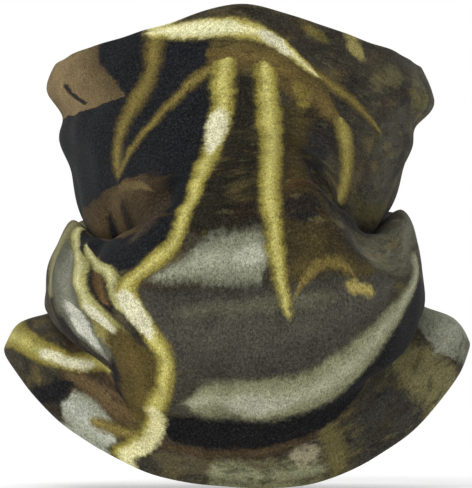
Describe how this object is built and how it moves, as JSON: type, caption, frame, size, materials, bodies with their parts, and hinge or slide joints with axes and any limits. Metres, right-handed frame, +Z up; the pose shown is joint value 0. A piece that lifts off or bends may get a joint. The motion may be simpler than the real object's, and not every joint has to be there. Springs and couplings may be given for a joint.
{
  "type": "neck gaiter",
  "caption": "Double-layer fleece neck gaiter in its worn shape, from the bridge of the nose to a flared hem over the shoulders, with a rolled cowl at the neck.",
  "frame": {"origin": "on the axis of the wearer's neck, at the height of the hem's lowest point on the chest", "axes": "+Z up along the wearer's neck, -Y towards the front of the face, +X towards the wearer's left"},
  "size_m": [0.224, 0.196, 0.2314],
  "materials": {
    "printed_fleece": "brushed polyester fleece with a woodland print, matt with a soft nap",
    "plain_fleece": "brushed polyester fleece, plain, matt",
    "sewing_thread": "spun polyester thread, matt",
    "label_satin": "woven satin ribbon, soft sheen"
  },
  "bodies": {
    "root": {"outer_shell": "printed_fleece", "inner_lining": "plain_fleece", "top_edge_seam": "sewing_thread", "hem_seam": "sewing_thread", "shell_back_seam": "sewing_thread", "lining_back_seam": "sewing_thread", "turning_gap_stitch": "sewing_thread", "fibre_label": "label_satin"}
  },
  "joints": []
}
